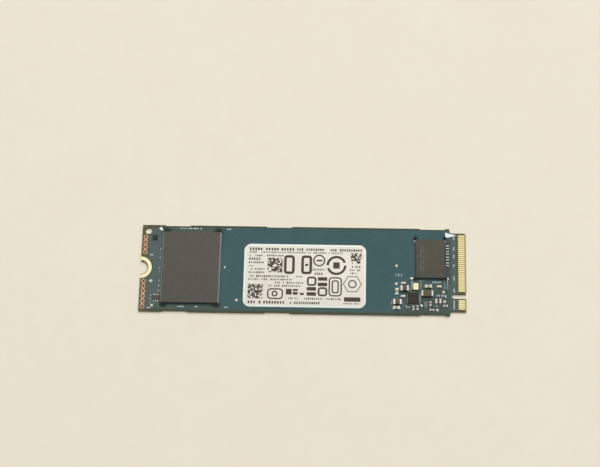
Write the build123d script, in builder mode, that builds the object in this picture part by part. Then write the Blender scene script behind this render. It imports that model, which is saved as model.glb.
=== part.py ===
from build123d import *
import os
from math import floor

# A single-sided M.2 2280 solid state drive. X runs from the screw end to the edge connector,
# Y across the card and Z up from its underside. All sizes are in millimetres.

# Card
board_length = 80.0
board_thickness = 0.8
copper_thickness = 0.04  # bare pads lie in mask openings of this depth, flush with the mask
hole_plating = 0.05
mask_margin = 0.1  # bare laminate left around a pad

# Edge connector
contact_pitch = 0.5  # between neighbours on one face
contact_positions = 75  # counted over both faces: odd ones on top, even ones below
contact_width = 0.35
contact_length = 1.55
contact_margin = 0.675  # from the outer contact's centre to the side of the tongue
contact_opening = 0.65  # mask opening behind the contacts
key_first = 59  # first and last position that the key slot takes
key_last = 66
key_slot_width = 1.2
key_slot_depth = 3.5
tongue_length = 4.0
tongue_bevel_length = 0.35
tongue_bevel_height = 0.2
shoulder_step = 1.075  # 22 mm over the shoulders
shoulder_radius = 0.6

# Recesses in both long edges, where the panel tabs were broken off
tab_length = 6.2
tab_depth = 0.22
tab_centres = (8.8, 33.95, 71.8)  # from the screw end

# Screw end
notch_radius = 1.75
notch_pad_radius = 2.75
ground_hole_radius = 0.25
ground_pad_radius = 0.6
ground_link_width = 0.7
ground_pitch = 1.27
ground_inset = 0.9  # from the screw end to the hole centres
ground_first_upper = 4.0  # from the centre line to the first hole on that side
ground_first_lower = 3.5
ground_edge_margin = 0.4
ground_opening = 1.65  # mask opening along the screw end
tooling_hole_radius = 0.86
tooling_hole_inset = 1.5  # from the screw end
tooling_hole_drop = 1.47  # from the upper edge

# Flash memory package
end_strip_length = 5.25  # from the screw end to the package
flash_width = 14.5
flash_length = 18.0
flash_mould_height = 0.75
flash_mould_lean = 0.25  # of each end wall, from its foot to its top
flash_substrate_height = 0.2
flash_ball_height = 0.25
flash_ball_radius = 0.22
flash_ball_pitch = 1.0
flash_ball_columns = 11
flash_ball_rows = 6  # in each of two blocks
flash_ball_margin = 1.0  # from the package's end to the outer row
flash_bond_radius = 0.95
flash_bond_height = 0.6
flash_bond_inset = 0.65  # from the package corner, along X

# Controller package
controller_gap = 0.3  # to the coupling capacitors
controller_lift = 9.2  # from the lower edge
controller_width = 7.2
controller_length = 9.8
controller_mould_height = 0.62
controller_substrate_height = 0.18
controller_ball_height = 0.2
controller_ball_radius = 0.17
controller_ball_pitch = 0.8
controller_ball_columns = 8
controller_ball_rows = 11
controller_bond_radius = 0.75
controller_bond_height = 0.45
controller_bond_inset = 0.1

bond_tip_radius = 0.3  # top of each dab of adhesive at a package corner

# Label, centred between the flash package and the power parts
label_length = 30.0
label_width = 16.0
label_thickness = 0.1
label_corner_radius = 1.7
label_lift = 1.45  # from the lower edge
power_field_depth = 18.75  # from the connector end back to the label's field

# Chip capacitors and resistors, by their inch size codes
chip_wrap = 0.02  # thickness of the plated end caps
chip_0201_length = 0.6
chip_0201_width = 0.3
chip_0201_height = 0.3
chip_0201_band = 0.15
chip_0402_length = 1.0
chip_0402_width = 0.5
chip_0402_height = 0.5
chip_0402_band = 0.25
chip_0603_length = 1.6
chip_0603_width = 0.8
chip_0603_height = 0.8
chip_0603_band = 0.35
chip_0805_length = 2.0
chip_0805_width = 1.25
chip_0805_height = 1.2
chip_0805_band = 0.45
resistor_height = 0.35
resistor_coat_height = 0.03

# Row of coupling capacitors in pairs, one pair for each lane
coupling_back = 4.55  # from the connector end
coupling_rise = 0.97  # from the controller's middle to the row's middle
coupling_pairs = 4
coupling_pair_pitch = 1.45
coupling_spacing = 0.66

# Places of the other chips: back from the connector end, up from the lower edge, turn in degrees
capacitors_0805_at = [(15.05, 6.5, 0), (16.8, 3.05, 0)]
capacitors_0603_at = [(16.95, 5.7, 90), (17.0, 1.65, 0), (9.25, 7.15, 0)]
capacitors_0402_at = [(15.35, 7.95, 0), (15.4, 4.65, 0), (6.6, 7.2, 0), (7.35, 3.5, 90), (6.35, 3.55, 90)]
resistors_0402_at = [(12.9, 1.8, 90), (11.9, 1.85, 90), (8.75, 2.85, 90), (5.1, 2.35, 0), (8.4, 1.3, 0)]
capacitors_0201_at = [(5.05, 4.75, 90)]

# Solder
solder_rise = 0.65  # share of a chip's height that the solder climbs
solder_reach = 0.3  # share of a chip's height that the solder spreads

# Power management chip
power_chip_back = 12.95
power_chip_lift = 4.05
power_chip_side = 2.7
power_chip_height = 0.7
power_lead_count = 5  # on each side
power_lead_pitch = 0.45
power_lead_width = 0.24
power_lead_length = 0.4
power_lead_toe = 0.1  # part of the lead that shows
power_lead_height = 0.05
power_pad_side = 1.5
power_dimple_radius = 0.16
power_dimple_depth = 0.04
power_dimple_inset = 0.4

# Power inductor
inductor_back = 9.55
inductor_lift = 5.35
inductor_length = 2.75
inductor_width = 1.6
inductor_height = 1.0
inductor_band = 0.5  # of each terminal, under the core
inductor_wrap = 0.33  # of each terminal, up the core's end
inductor_foot = 0.12  # of each terminal, between the core and the board
inductor_round = 0.12

# Crystal
crystal_back = 12.3
crystal_lift = 7.12
crystal_width = 1.6
crystal_length = 2.0
crystal_base_height = 0.36
crystal_corner_radius = 0.16
crystal_lid_margin = 0.15
crystal_lid_height = 0.1
crystal_lid_radius = 0.16
crystal_lid_bevel = 0.03

# Surge diode, a flat leadless part
diode_back = 9.9
diode_lift = 2.6
diode_width = 0.8
diode_length = 1.4
diode_height = 0.42
diode_pad_length = 0.4
diode_pad_toe = 0.08
diode_pad_height = 0.05
diode_pad_inset = 0.08

# Load switch in a six-lead package
switch_gap = 0.25  # to the flash package
switch_lift = 3.3
switch_width = 1.6
switch_length = 1.2
switch_height = 0.5
switch_clearance = 0.05  # under the body
switch_lead_count = 3  # on each side
switch_lead_pitch = 0.5
switch_lead_width = 0.22
switch_lead_thickness = 0.12
switch_lead_exit = 0.2  # lead's underside at the body, above the board
switch_lead_reach = 0.32
switch_lead_heel = 0.06

# Temperature sensor, a bare chip on four balls
sensor_inset = 3.2  # from the screw end
sensor_drop = 3.3  # from the upper edge
sensor_width = 1.15
sensor_length = 1.2
sensor_height = 0.32
sensor_ball_height = 0.1
sensor_ball_radius = 0.14
sensor_ball_pitch = 0.55

# Test points on the top face
test_point_radius = 0.34
test_points_at_connector = [(17.0, 12.4), (17.05, 7.85), (5.55, 5.9), (5.3, 3.5), (7.08, 1.35)]
test_points_at_screw = [(3.25, 1.4), (23.95, 3.05)]

# Places that follow from the sizes above
tongue_width = (contact_positions - 1) / 2 * contact_pitch + 2 * contact_margin
board_width = tongue_width + 2 * shoulder_step
screw_end_x = -board_length / 2
connector_x = board_length / 2
shoulder_x = connector_x - tongue_length
upper_edge_y = board_width / 2
lower_edge_y = -board_width / 2
pad_floor = board_thickness - copper_thickness
pad_layers = (Plane.XY, Plane.XY.offset(pad_floor))  # floors of the mask openings, under and top
contact_tip_x = connector_x - tongue_bevel_length
ground_x = screw_end_x + ground_inset
tooling_hole_x = screw_end_x + tooling_hole_inset
tooling_hole_y = upper_edge_y - tooling_hole_drop
flash_x = screw_end_x + end_strip_length + flash_width / 2
flash_floor = board_thickness + flash_ball_height
coupling_x = connector_x - coupling_back
controller_right_x = coupling_x - chip_0201_length / 2 - controller_gap
controller_x = controller_right_x - controller_width / 2
controller_y = lower_edge_y + controller_lift + controller_length / 2
controller_floor = board_thickness + controller_ball_height
label_x = (flash_x + flash_width / 2 + connector_x - power_field_depth) / 2
label_y = lower_edge_y + label_lift + label_width / 2

# A block that stands on its place
STANDING = (Align.CENTER, Align.CENTER, Align.MIN)

# Sides with which the smallest round things are drawn, to keep the model light
BALL_SIDES = 6
ROUND_SIDES = 12

os.makedirs("parts", exist_ok=True)


def write(piece, name):
    """Names a finished piece and writes it."""
    piece.part.label = name
    export_step(piece.part, f"parts/{name}.step")


def on_board(back, lift, turn=0):
    """A place on top, measured back from the connector end and up from the card's lower edge."""
    return Location((connector_x - back, lower_edge_y + lift, board_thickness), (0, 0, turn))


def contact_y(position):
    return ((contact_positions + 1) / 2 - position) * contact_pitch / 2


def contact_rows(first):
    """Every second position from the first, less those that the key slot takes."""
    positions = range(first, contact_positions + 1, 2)
    return [contact_y(n) for n in positions if not key_first <= n <= key_last]


def ground_rows(first, last):
    """Hole centres from the first, as many as fit up to the last."""
    count = floor((last - first) / ground_pitch) + 1
    return [first + n * ground_pitch for n in range(count)]


key_y = contact_y((key_first + key_last) / 2)
ground_upper = ground_rows(
    ground_first_upper, tooling_hole_y - tooling_hole_radius - ground_pad_radius
)
ground_lower = [
    -y
    for y in ground_rows(
        ground_first_lower, upper_edge_y - ground_edge_margin - ground_pad_radius
    )
]
test_points = [(connector_x - back, lower_edge_y + lift) for back, lift in test_points_at_connector]
test_points += [(screw_end_x + inset, lower_edge_y + lift) for inset, lift in test_points_at_screw]


# Circuit board: outline, holes, mask openings on both faces, and the tongue's bevel
with BuildPart() as circuit_board:
    with BuildSketch() as outline:
        with Locations((screw_end_x, 0)):
            Rectangle(board_length - tongue_length, board_width, align=(Align.MIN, Align.CENTER))
        with Locations((shoulder_x, 0)):
            Rectangle(tongue_length, tongue_width, align=(Align.MIN, Align.CENTER))
        inner_corners = outline.vertices().group_by(Axis.X)[1].sort_by(Axis.Y)[1:-1]
        fillet(inner_corners, shoulder_radius)
        with Locations(
            *[(screw_end_x + x, y) for x in tab_centres for y in (lower_edge_y, upper_edge_y)]
        ):
            Rectangle(tab_length, 2 * tab_depth, mode=Mode.SUBTRACT)
        with Locations((connector_x, key_y)):
            SlotOverall(2 * key_slot_depth, key_slot_width, mode=Mode.SUBTRACT)
        with Locations((screw_end_x, 0)):
            Circle(notch_radius + hole_plating, mode=Mode.SUBTRACT)
        with Locations((tooling_hole_x, tooling_hole_y)):
            Circle(tooling_hole_radius, mode=Mode.SUBTRACT)
        with Locations(*[(ground_x, y) for y in ground_upper + ground_lower]):
            RegularPolygon(ground_hole_radius + hole_plating, ROUND_SIDES, mode=Mode.SUBTRACT)
    extrude(amount=board_thickness)
    with BuildSketch(*pad_layers):
        with Locations((connector_x, 0)):
            Rectangle(
                tongue_bevel_length + contact_length + contact_opening,
                board_width,
                align=(Align.MAX, Align.CENTER),
            )
        with Locations((screw_end_x, 0)):
            Rectangle(ground_opening, board_width, align=(Align.MIN, Align.CENTER))
            Circle(notch_pad_radius + mask_margin)
        with Locations((tooling_hole_x, tooling_hole_y)):
            Circle(tooling_hole_radius + 2 * mask_margin)
    extrude(amount=copper_thickness, mode=Mode.SUBTRACT)
    with BuildSketch(Plane.XY.offset(pad_floor)):
        with Locations(*test_points):
            RegularPolygon(test_point_radius + mask_margin, ROUND_SIDES)
    extrude(amount=copper_thickness, mode=Mode.SUBTRACT)
    with BuildSketch(Plane.XZ) as bevels:
        for face_z, tip_z in (
            (pad_floor, pad_floor - tongue_bevel_height),
            (copper_thickness, copper_thickness + tongue_bevel_height),
        ):
            with BuildLine():
                Polyline((contact_tip_x, face_z), (connector_x, tip_z), (connector_x, face_z), close=True)
            make_face()
    extrude(amount=board_width, both=True, mode=Mode.SUBTRACT)
write(circuit_board, "circuit_board")


# Gold contacts on both faces of the tongue
with BuildPart() as edge_contacts_top:
    with Locations(*[(contact_tip_x, y, pad_floor) for y in contact_rows(1)]):
        Box(contact_length, contact_width, copper_thickness, align=(Align.MAX, Align.CENTER, Align.MIN))
write(edge_contacts_top, "edge_contacts_top")

with BuildPart() as edge_contacts_bottom:
    with Locations(*[(contact_tip_x, y) for y in contact_rows(2)]):
        Box(contact_length, contact_width, copper_thickness, align=(Align.MAX, Align.CENTER, Align.MIN))
write(edge_contacts_bottom, "edge_contacts_bottom")


# Plating of the screw notch: a channel section turned half round the screw
with BuildPart() as board_notch_plating:
    with BuildSketch(Plane(origin=(screw_end_x, 0, 0), x_dir=(0, -1, 0), z_dir=(-1, 0, 0))):
        with BuildLine():
            Polyline(
                (notch_radius, 0),
                (notch_pad_radius, 0),
                (notch_pad_radius, copper_thickness),
                (notch_radius + hole_plating, copper_thickness),
                (notch_radius + hole_plating, pad_floor),
                (notch_pad_radius, pad_floor),
                (notch_pad_radius, board_thickness),
                (notch_radius, board_thickness),
                close=True,
            )
        make_face()
    revolve(axis=Axis((screw_end_x, 0, 0), (0, 0, 1)), revolution_arc=180)
write(board_notch_plating, "board_notch_plating")


# Plated ground holes: two chains of ringed holes, each joined by a strip of copper
with BuildPart() as ground_holes:
    for rows in (ground_upper, ground_lower):
        with BuildSketch(*pad_layers):
            with Locations((ground_x, (rows[0] + rows[-1]) / 2)):
                Rectangle(ground_link_width, abs(rows[-1] - rows[0]))
            with Locations(*[(ground_x, y) for y in rows]):
                RegularPolygon(ground_pad_radius, ROUND_SIDES)
        extrude(amount=copper_thickness)
        with BuildSketch():
            with Locations(*[(ground_x, y) for y in rows]):
                RegularPolygon(ground_hole_radius + hole_plating, ROUND_SIDES)
        extrude(amount=board_thickness)
        with BuildSketch():
            with Locations(*[(ground_x, y) for y in rows]):
                RegularPolygon(ground_hole_radius, ROUND_SIDES)
        extrude(amount=board_thickness, mode=Mode.SUBTRACT)
write(ground_holes, "ground_holes")

with BuildPart() as test_pads:
    with BuildSketch(Plane.XY.offset(pad_floor)):
        with Locations(*test_points):
            RegularPolygon(test_point_radius, ROUND_SIDES)
    extrude(amount=copper_thickness)
write(test_pads, "test_pads")


# Ball grid packages: moulded cap, substrate, solder balls, and adhesive dabs at the corners
def slab(x, y, floor_z, width, length, height):
    with BuildPart() as piece:
        with Locations((x, y, floor_z)):
            Box(width, length, height, align=STANDING)
    return piece


def ball_grid(places, radius, height):
    """Solder balls as short columns, drawn with a few sides each."""
    with BuildPart() as balls:
        with BuildSketch(Plane.XY.offset(board_thickness)):
            with Locations(*places):
                RegularPolygon(radius, BALL_SIDES)
        extrude(amount=height)
    return balls


def corner_bonds(x, y, width, length, radius, height, inset):
    """Tapered dabs of adhesive round the four corners, cut away by the package itself."""
    with BuildPart() as dab:
        with BuildSketch():
            RegularPolygon(radius, ROUND_SIDES)
        with BuildSketch(Plane.XY.offset(height)):
            RegularPolygon(bond_tip_radius, ROUND_SIDES)
        loft()
    with BuildPart() as bonds:
        with Locations((x, y, board_thickness)):
            with GridLocations(width - 2 * inset, length, 2, 2):
                add(dab.part)
            Box(width, length, height, align=STANDING, mode=Mode.SUBTRACT)
    return bonds


flash_block_reach = (flash_ball_rows - 1) * flash_ball_pitch / 2 + flash_ball_margin
flash_block_y = flash_length / 2 - flash_block_reach
flash_blocks = [(flash_x, -flash_block_y), (flash_x, flash_block_y)]
flash_balls_at = [
    (x + place.position.X, y + place.position.Y)
    for x, y in flash_blocks
    for place in GridLocations(flash_ball_pitch, flash_ball_pitch, flash_ball_columns, flash_ball_rows)
]
flash_substrate = slab(flash_x, 0, flash_floor, flash_width, flash_length, flash_substrate_height)
write(flash_substrate, "flash_substrate")
flash_mould_floor = flash_floor + flash_substrate_height
flash_top_width = flash_width - 2 * flash_mould_lean
with BuildPart() as flash_mould:
    with BuildSketch(Plane.XZ):
        with BuildLine():
            Polyline(
                (flash_x - flash_width / 2, flash_mould_floor),
                (flash_x + flash_width / 2, flash_mould_floor),
                (flash_x + flash_top_width / 2, flash_mould_floor + flash_mould_height),
                (flash_x - flash_top_width / 2, flash_mould_floor + flash_mould_height),
                close=True,
            )
        make_face()
    extrude(amount=flash_length / 2, both=True)
write(flash_mould, "flash_mould")
write(ball_grid(flash_balls_at, flash_ball_radius, flash_ball_height), "flash_solder_balls")
write(
    corner_bonds(
        flash_x,
        0,
        flash_width,
        flash_length,
        flash_bond_radius,
        flash_bond_height,
        flash_bond_inset,
    ),
    "flash_corner_bonds",
)

controller_balls_at = [
    (controller_x + place.position.X, controller_y + place.position.Y)
    for place in GridLocations(
        controller_ball_pitch, controller_ball_pitch, controller_ball_columns, controller_ball_rows
    )
]
controller_substrate = slab(
    controller_x,
    controller_y,
    controller_floor,
    controller_width,
    controller_length,
    controller_substrate_height,
)
write(controller_substrate, "controller_substrate")
controller_mould = slab(
    controller_x,
    controller_y,
    controller_floor + controller_substrate_height,
    controller_width,
    controller_length,
    controller_mould_height,
)
write(controller_mould, "controller_mould")
write(
    ball_grid(controller_balls_at, controller_ball_radius, controller_ball_height),
    "controller_solder_balls",
)
write(
    corner_bonds(
        controller_x,
        controller_y,
        controller_width,
        controller_length,
        controller_bond_radius,
        controller_bond_height,
        controller_bond_inset,
    ),
    "controller_corner_bonds",
)


# Label
with BuildPart() as product_label:
    with BuildSketch(Plane.XY.offset(board_thickness)):
        with Locations((label_x, label_y)):
            RectangleRounded(label_length, label_width, label_corner_radius)
    extrude(amount=label_thickness)
write(product_label, "product_label")


# Chip parts: a ceramic body whose two ends are wrapped in plated caps
def chip_bodies(places, length, width, height):
    with BuildPart() as bodies:
        with Locations(*places):
            with Locations((0, 0, chip_wrap)):
                Box(
                    length - 2 * chip_wrap,
                    width - 2 * chip_wrap,
                    height - 2 * chip_wrap,
                    align=STANDING,
                )
    return bodies


def chip_ends(places, length, width, height, band):
    with BuildPart() as ends:
        with Locations(*places):
            with GridLocations(length - band, 0, 2, 1):
                Box(band, width, height, align=STANDING)
            with Locations((0, 0, chip_wrap)):
                Box(
                    length - 2 * chip_wrap,
                    width - 2 * chip_wrap,
                    height - 2 * chip_wrap,
                    align=STANDING,
                    mode=Mode.SUBTRACT,
                )
    return ends


def solder_pair(length, width, height):
    """The two fillets of solder that hold a chip's ends, as sloping wedges."""
    with BuildPart() as pair:
        with BuildSketch(Plane.XZ):
            with BuildLine():
                Polyline(
                    (length / 2, 0),
                    (length / 2 + solder_reach * height, 0),
                    (length / 2, solder_rise * height),
                    close=True,
                )
            make_face()
        extrude(amount=width / 2, both=True)
        mirror(about=Plane.YZ)
    return pair.part


coupling_at = [
    Location((coupling_x, controller_y + coupling_rise + pair.position.Y + side, board_thickness))
    for pair in GridLocations(1, coupling_pair_pitch, 1, coupling_pairs)
    for side in (-coupling_spacing / 2, coupling_spacing / 2)
]
small_at = coupling_at + [on_board(*place) for place in capacitors_0201_at]
capacitors_0402 = [on_board(*place) for place in capacitors_0402_at]
capacitors_0603 = [on_board(*place) for place in capacitors_0603_at]
capacitors_0805 = [on_board(*place) for place in capacitors_0805_at]
resistors_0402 = [on_board(*place) for place in resistors_0402_at]
inductor_at = on_board(inductor_back, inductor_lift)

# Name, places, length, width, height and cap band of each kind of chip
chip_kinds = [
    (
        "capacitors_0201",
        small_at,
        chip_0201_length,
        chip_0201_width,
        chip_0201_height,
        chip_0201_band,
    ),
    (
        "capacitors_0402",
        capacitors_0402,
        chip_0402_length,
        chip_0402_width,
        chip_0402_height,
        chip_0402_band,
    ),
    (
        "capacitors_0603",
        capacitors_0603,
        chip_0603_length,
        chip_0603_width,
        chip_0603_height,
        chip_0603_band,
    ),
    (
        "capacitors_0805",
        capacitors_0805,
        chip_0805_length,
        chip_0805_width,
        chip_0805_height,
        chip_0805_band,
    ),
    (
        "resistors_0402",
        resistors_0402,
        chip_0402_length,
        chip_0402_width,
        resistor_height,
        chip_0402_band,
    ),
]
for name, places, length, width, height, band in chip_kinds:
    write(chip_bodies(places, length, width, height), f"{name}_bodies")
    write(chip_ends(places, length, width, height, band), f"{name}_ends")

# Black glass coat on each resistor, between its end caps
with BuildPart() as resistor_coats:
    with Locations(*resistors_0402):
        with Locations((0, 0, resistor_height - chip_wrap)):
            Box(
                chip_0402_length - 2 * chip_0402_band,
                chip_0402_width - 2 * chip_wrap,
                resistor_coat_height,
                align=STANDING,
            )
write(resistor_coats, "resistors_0402_coats")

with BuildPart() as solder_fillets:
    for name, places, length, width, height, band in chip_kinds:
        pair = solder_pair(length, width, height)
        with Locations(*places):
            add(pair)
    inductor_pair = solder_pair(inductor_length, inductor_width - 2 * inductor_round, inductor_height / 2)
    with Locations(inductor_at):
        add(inductor_pair)
write(solder_fillets, "solder_fillets")


# Power inductor: a pressed core with two wrapped terminals
with BuildPart() as inductor_core:
    with Locations(inductor_at):
        with Locations((0, 0, inductor_foot)):
            Box(
                inductor_length - 2 * inductor_wrap,
                inductor_width,
                inductor_height - inductor_foot,
                align=STANDING,
            )
    upright = inductor_core.edges().filter_by(Axis.Z)
    fillet(upright, inductor_round)
write(inductor_core, "inductor_core")

with BuildPart() as inductor_terminals:
    with Locations(inductor_at):
        with GridLocations(inductor_length - inductor_band, 0, 2, 1):
            Box(
                inductor_band,
                inductor_width - 2 * inductor_round,
                inductor_height,
                align=STANDING,
            )
        with Locations((0, 0, inductor_foot)):
            Box(
                inductor_length - 2 * inductor_wrap,
                inductor_width,
                inductor_height,
                align=STANDING,
                mode=Mode.SUBTRACT,
            )
write(inductor_terminals, "inductor_terminals")


# Power management chip: a leadless body on a frame of leads round a thermal pad
power_chip_at = on_board(power_chip_back, power_chip_lift)
with BuildPart() as power_chip_body:
    with Locations(power_chip_at):
        with Locations((0, 0, power_lead_height)):
            Box(power_chip_side, power_chip_side, power_chip_height, align=STANDING)
        dimple_at = power_chip_side / 2 - power_dimple_inset
        with Locations((dimple_at, -dimple_at, power_lead_height + power_chip_height)):
            Cylinder(
                power_dimple_radius,
                power_dimple_depth,
                align=(Align.CENTER, Align.CENTER, Align.MAX),
                mode=Mode.SUBTRACT,
            )
write(power_chip_body, "power_chip_body")

with BuildPart() as power_chip_leads:
    with Locations(power_chip_at):
        Box(power_pad_side, power_pad_side, power_lead_height, align=STANDING)
        with PolarLocations(power_chip_side / 2 + power_lead_toe, 4):
            with GridLocations(1, power_lead_pitch, 1, power_lead_count):
                Box(
                    power_lead_length,
                    power_lead_width,
                    power_lead_height,
                    align=(Align.MAX, Align.CENTER, Align.MIN),
                )
write(power_chip_leads, "power_chip_leads")


# Crystal: a ceramic base with hollowed corners under a metal lid
crystal_at = on_board(crystal_back, crystal_lift)
with BuildPart() as crystal_base:
    with BuildSketch(Plane(crystal_at)):
        Rectangle(crystal_width, crystal_length)
        with GridLocations(crystal_width, crystal_length, 2, 2):
            Circle(crystal_corner_radius, mode=Mode.SUBTRACT)
    extrude(amount=crystal_base_height)
write(crystal_base, "crystal_base")

with BuildPart() as crystal_lid:
    with BuildSketch(Plane(crystal_at).offset(crystal_base_height)):
        RectangleRounded(
            crystal_width - 2 * crystal_lid_margin,
            crystal_length - 2 * crystal_lid_margin,
            crystal_lid_radius,
        )
    extrude(amount=crystal_lid_height)
    rim = crystal_lid.faces().sort_by(Axis.Z)[-1].edges()
    chamfer(rim, crystal_lid_bevel)
write(crystal_lid, "crystal_lid")


# Surge diode: a flat body on two pads
diode_at = on_board(diode_back, diode_lift)
with BuildPart() as diode_body:
    with Locations(diode_at):
        with Locations((0, 0, diode_pad_height)):
            Box(diode_width, diode_length, diode_height, align=STANDING)
write(diode_body, "diode_body")

with BuildPart() as diode_pads:
    with Locations(diode_at):
        with GridLocations(0, diode_length + 2 * diode_pad_toe - diode_pad_length, 1, 2):
            Box(diode_width - 2 * diode_pad_inset, diode_pad_length, diode_pad_height, align=STANDING)
write(diode_pads, "diode_pads")


# Load switch: a moulded body with three bent leads on each side
switch_x = flash_x - flash_width / 2 - switch_gap - switch_width / 2
switch_y = lower_edge_y + switch_lift
with BuildPart() as switch_body:
    with Locations((switch_x, switch_y, board_thickness + switch_clearance)):
        Box(switch_width, switch_length, switch_height, align=STANDING)
write(switch_body, "switch_body")

with BuildPart() as switch_leads:
    with BuildSketch(Plane(origin=(switch_x, switch_y, board_thickness), x_dir=(0, 1, 0), z_dir=(1, 0, 0))):
        with BuildLine():
            side = switch_length / 2
            Polyline(
                (side, switch_lead_exit),
                (side, switch_lead_exit + switch_lead_thickness),
                (side + switch_lead_heel + switch_lead_thickness, switch_lead_exit + switch_lead_thickness),
                (side + switch_lead_heel + switch_lead_thickness, switch_lead_thickness),
                (side + switch_lead_reach, switch_lead_thickness),
                (side + switch_lead_reach, 0),
                (side + switch_lead_heel, 0),
                (side + switch_lead_heel, switch_lead_exit),
                close=True,
            )
        make_face()
    lead = extrude(amount=switch_lead_width / 2, both=True, mode=Mode.PRIVATE)
    with GridLocations(switch_lead_pitch, 0, switch_lead_count, 1):
        add(lead)
    mirror(about=Plane.XZ.offset(-switch_y))
write(switch_leads, "switch_leads")


# Temperature sensor: a bare chip on four balls
sensor_x = screw_end_x + sensor_inset
sensor_y = upper_edge_y - sensor_drop
sensor_chip = slab(
    sensor_x,
    sensor_y,
    board_thickness + sensor_ball_height,
    sensor_width,
    sensor_length,
    sensor_height,
)
write(sensor_chip, "sensor_chip")
sensor_balls_at = [
    (sensor_x + place.position.X, sensor_y + place.position.Y)
    for place in GridLocations(sensor_ball_pitch, sensor_ball_pitch, 2, 2)
]
write(ball_grid(sensor_balls_at, sensor_ball_radius, sensor_ball_height), "sensor_solder_balls")
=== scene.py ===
import math
from functools import partial

import bmesh
import bpy
from mathutils import Matrix, Vector


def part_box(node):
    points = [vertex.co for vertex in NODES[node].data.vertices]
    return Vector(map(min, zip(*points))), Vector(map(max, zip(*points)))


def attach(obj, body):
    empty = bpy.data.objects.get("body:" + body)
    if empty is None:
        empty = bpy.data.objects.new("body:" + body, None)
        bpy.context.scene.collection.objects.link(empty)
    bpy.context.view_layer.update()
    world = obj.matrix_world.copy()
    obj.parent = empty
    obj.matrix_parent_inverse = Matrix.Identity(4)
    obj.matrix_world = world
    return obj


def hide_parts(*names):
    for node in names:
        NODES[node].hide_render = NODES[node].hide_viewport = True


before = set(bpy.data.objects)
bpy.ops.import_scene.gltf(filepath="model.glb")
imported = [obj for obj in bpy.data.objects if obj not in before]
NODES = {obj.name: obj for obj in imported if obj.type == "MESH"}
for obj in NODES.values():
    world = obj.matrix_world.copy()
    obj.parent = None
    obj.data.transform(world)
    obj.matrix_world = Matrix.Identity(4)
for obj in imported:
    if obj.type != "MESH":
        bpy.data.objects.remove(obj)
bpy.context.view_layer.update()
MM = 0.001  # in metres; sizes and places below are in millimetres, unless a comment says otherwise

# Places on the card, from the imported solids
CARD_LOW, CARD_HIGH = (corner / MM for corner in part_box("circuit_board"))
LABEL_LOW, LABEL_HIGH = (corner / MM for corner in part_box("product_label"))
FLASH_LOW, FLASH_HIGH = (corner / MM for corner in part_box("flash_mould"))
CONTROLLER_LOW, CONTROLLER_HIGH = (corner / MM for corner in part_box("controller_mould"))
BOARD_TOP = CARD_HIGH.z
LABEL_TOP = LABEL_HIGH.z

# Sizes of the board, as in its solids
PAD_DEPTH = 0.04  # of the openings in the solder mask
NOTCH_RADIUS = 1.75
NOTCH_PAD_RADIUS = 2.75
GROUND_HOLES_X = CARD_LOW.x + 0.9
GROUND_HOLE_PITCH = 1.27
GROUND_HOLES = [4.0 + GROUND_HOLE_PITCH * i for i in range(4)]
GROUND_HOLES += [-3.5 - GROUND_HOLE_PITCH * i for i in range(6)]
COUPLING_MIDDLE = 4.07  # of the row of coupling capacitors
COUPLING_PAIR_PITCH = 1.45
COUPLING_SPACING = 0.66


# Colour, nodes and materials


def linear(hex_colour):
    """An sRGB hex colour as linear light."""
    channels = [int(hex_colour[i : i + 2], 16) / 255 for i in (1, 3, 5)]
    return [c / 12.92 if c <= 0.04045 else ((c + 0.055) / 1.055) ** 2.4 for c in channels] + [1.0]


def feed(node, inputs):
    """Sets a node's sockets, each to a value, a hex colour, or the node or output that feeds it."""
    for socket, value in inputs.items():
        if isinstance(value, bpy.types.Node):
            value = next(output for output in value.outputs if output.enabled)
        if isinstance(value, bpy.types.NodeSocket):
            node.id_data.links.new(value, node.inputs[socket])
        else:
            node.inputs[socket].default_value = linear(value) if isinstance(value, str) else value


def add_node(tree, kind, inputs=None, **settings):
    """Adds a node with its settings, values and links."""
    node = tree.nodes.new(kind)
    for name, value in settings.items():
        setattr(node, name, value)
    feed(node, inputs or {})
    return node


# Sockets of a Mix node for its share and two colours, whose names other sockets of it have too
SHARE, UNDER, OVER = 0, 6, 7


def new_material(name, surface):
    """A material, what adds nodes to it, its shader with constant values, and its places in millimetres."""
    made = bpy.data.materials.new(name)
    made.use_nodes = True
    add = partial(add_node, made.node_tree)
    shader = made.node_tree.nodes["Principled BSDF"]
    feed(shader, surface)
    place = add("ShaderNodeTexCoord").outputs["Object"]
    mm = add("ShaderNodeVectorMath", {0: place, "Scale": 1 / MM}, operation="SCALE")
    return made, add, shader, mm


# Places where a finish changes

THIN_BOND = 0.25  # height under which the adhesive lets the mask show
BORE_RIM = 0.11  # width of the darker rim round the screw notch's bore, a bare edge of the pad
BORE_FADE = 0.1  # over which that rim ends


def facing(add, axis):
    """How squarely the surface faces along an axis, one way or the other."""
    normal = add("ShaderNodeNewGeometry").outputs["Normal"]
    along = add("ShaderNodeSeparateXYZ", {0: normal}).outputs[axis]
    return add("ShaderNodeMath", {0: along}, operation="ABSOLUTE")


def painted_highlight_on_end_walls(add, mm):
    """Painted highlight on the walls that face along the card: lightens them to all but a trace of the
    body's own colour.
    """
    limits = {"From Min": 0.5, "From Max": 0.7, "To Max": 0.85}
    return add("ShaderNodeMapRange", {"Value": facing(add, "X"), **limits})


def painted_shade_on_hole_walls(add, mm):
    """Painted shade on the upright walls of plated holes."""
    return add("ShaderNodeMapRange", {"Value": facing(add, "Z"), "From Min": 0.5, "From Max": 0.2})


def where_thin(add, mm):
    """Where a dab on the board runs thin."""
    height = add("ShaderNodeSeparateXYZ", {0: mm}).outputs["Z"]
    limits = {"From Min": BOARD_TOP + THIN_BOND, "From Max": BOARD_TOP}
    return add("ShaderNodeMapRange", {"Value": height, **limits})


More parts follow.
